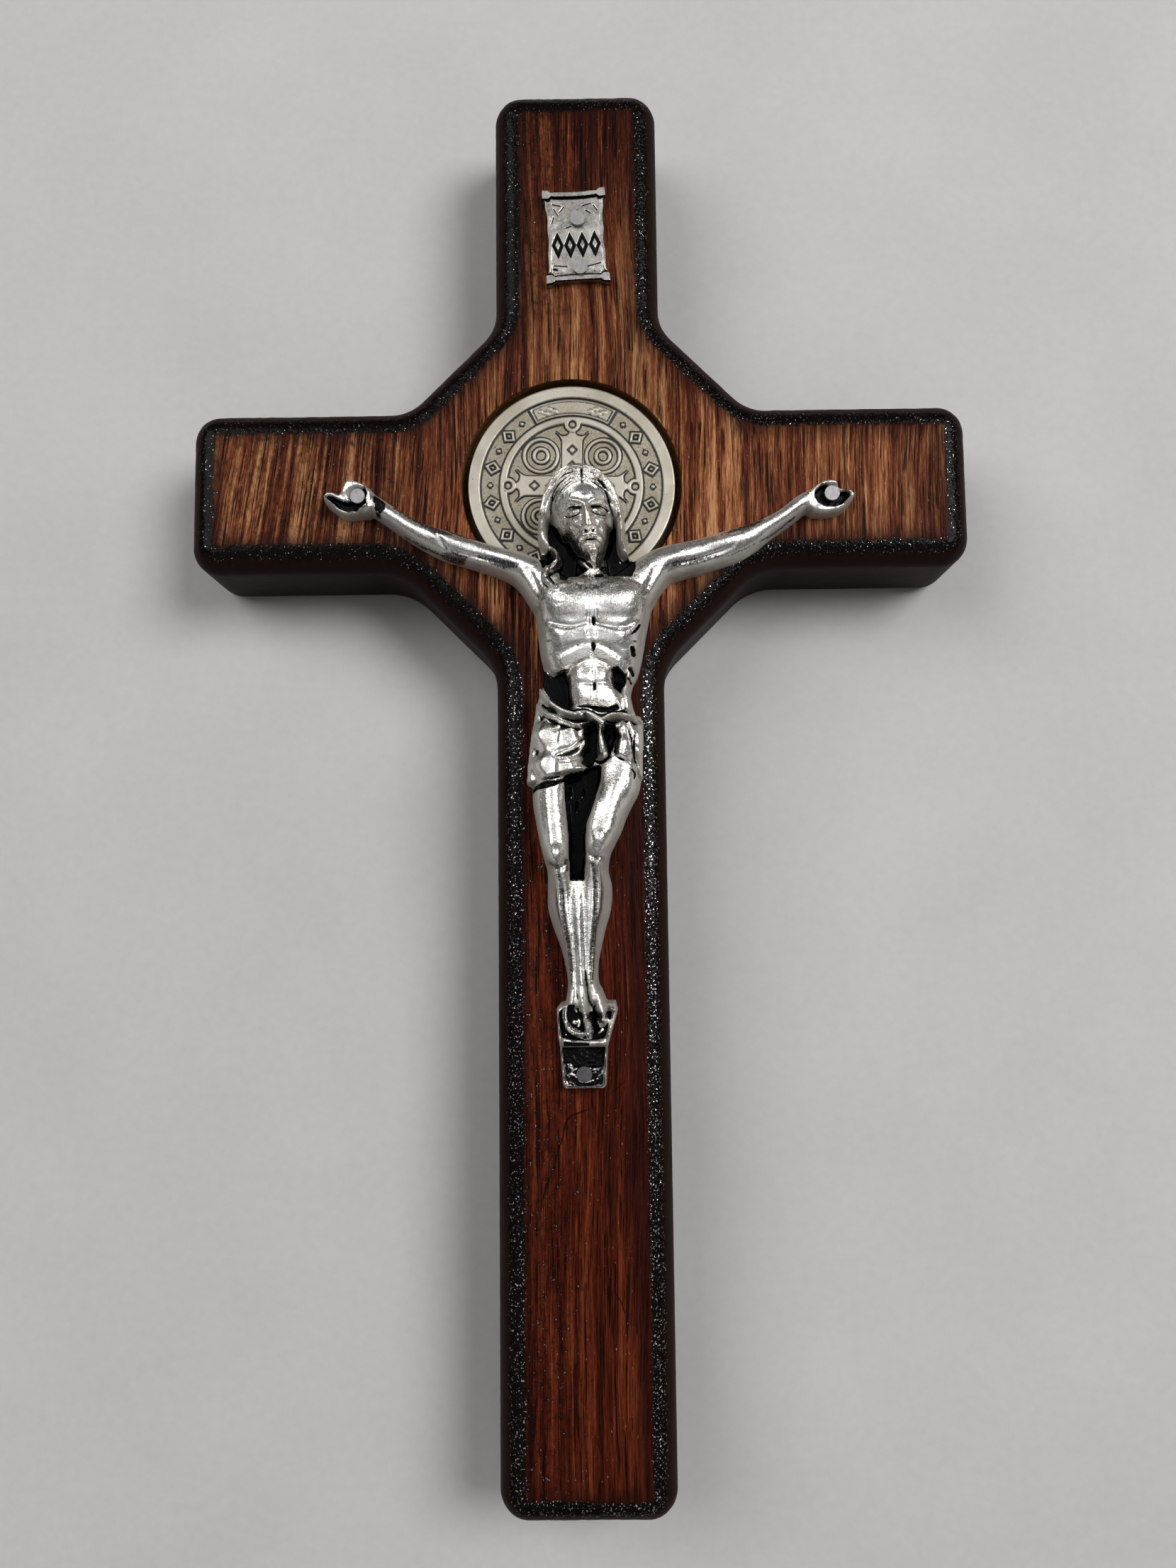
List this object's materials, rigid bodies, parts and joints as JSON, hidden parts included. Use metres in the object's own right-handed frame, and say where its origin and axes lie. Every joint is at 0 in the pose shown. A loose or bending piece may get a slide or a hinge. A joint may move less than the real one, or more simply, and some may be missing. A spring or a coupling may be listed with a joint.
{
  "type": "wall crucifix",
  "caption": "Wooden wall crucifix with rounded dark edges, an inlaid round medal, a cast metal figure, a scroll plate and pins.",
  "frame": {"origin": "middle of the cross's height and width, on its flat back", "axes": "the crucifix lies on its back: +X across the crossbar, +Y up the upright, +Z out of the front face"},
  "size_m": [0.1124, 0.203, 0.0275],
  "materials": {
    "board_wood": "mahogany stain, satin lacquer, near-black edges",
    "adhesive": "clear amber adhesive film",
    "medal_metal": "warm antiqued pewter with dark lines",
    "scroll_metal": "bright silver cast metal with black antiquing",
    "figure_metal": "bright silver cast metal with black antiquing",
    "pin_metal": "dull grey steel"
  },
  "bodies": {
    "root": {"cross_board": "board_wood", "medal_adhesive": "adhesive", "medal": "medal_metal", "scroll_plate": "scroll_metal", "corpus": "figure_metal", "scroll_pins": "pin_metal", "hand_pins": "pin_metal", "foot_pin": "pin_metal"}
  },
  "joints": []
}
